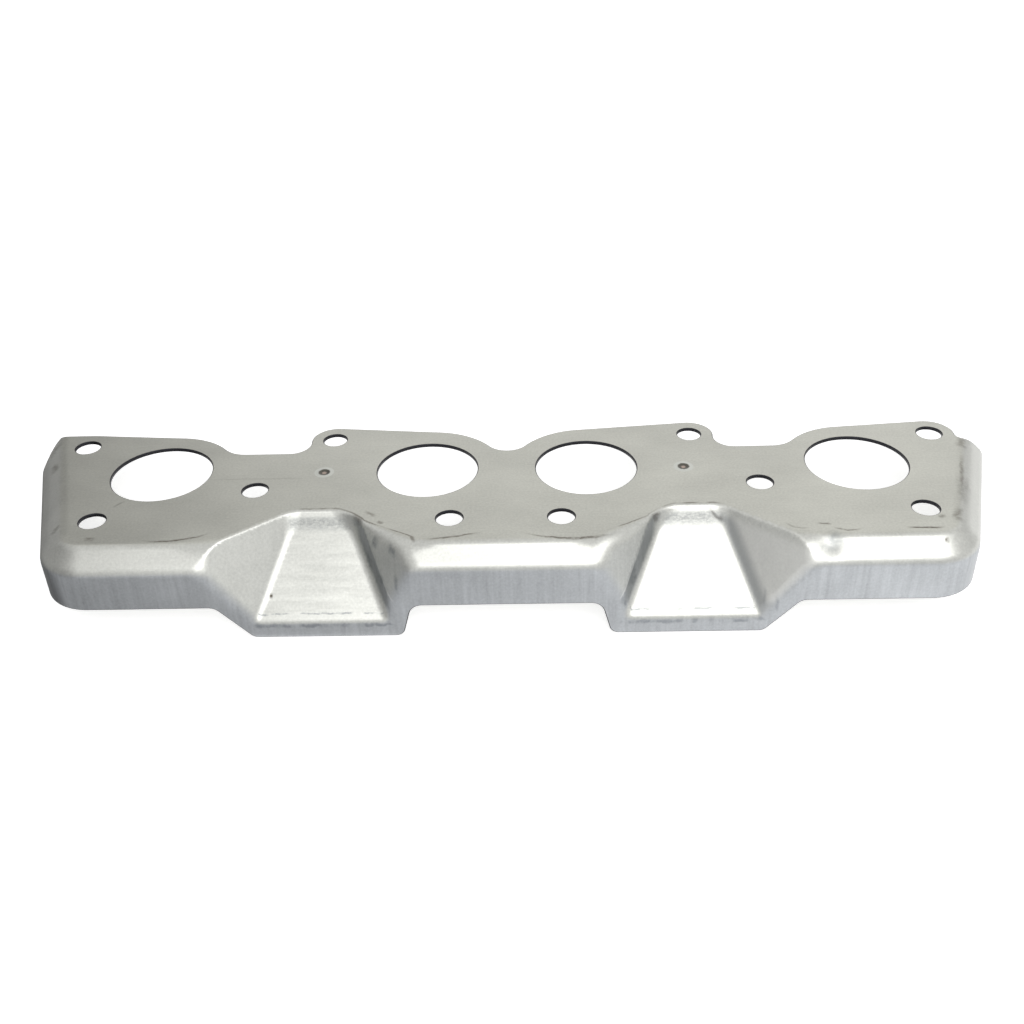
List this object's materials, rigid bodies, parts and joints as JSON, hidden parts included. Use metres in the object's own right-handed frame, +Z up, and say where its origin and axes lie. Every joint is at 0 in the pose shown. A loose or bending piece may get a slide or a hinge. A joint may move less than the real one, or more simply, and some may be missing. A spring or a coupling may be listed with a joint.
{
  "type": "exhaust gasket",
  "caption": "Pressed steel exhaust manifold gasket: flat plate with round ports and stud holes, a turned-down skirt on one long edge and both ends, and sloping drawn channels.",
  "frame": {"origin": "middle of the footprint, on the bench that the gasket lies on", "axes": "+X along the row of ports, +Y from the front skirt towards the lobed far edge, +Z up"},
  "size_m": [0.3898, 0.0976, 0.0358],
  "materials": {
    "steel_sheet": "satin rolled sheet, handled"
  },
  "bodies": {
    "root": {"gasket_sheet": "steel_sheet"}
  },
  "joints": []
}
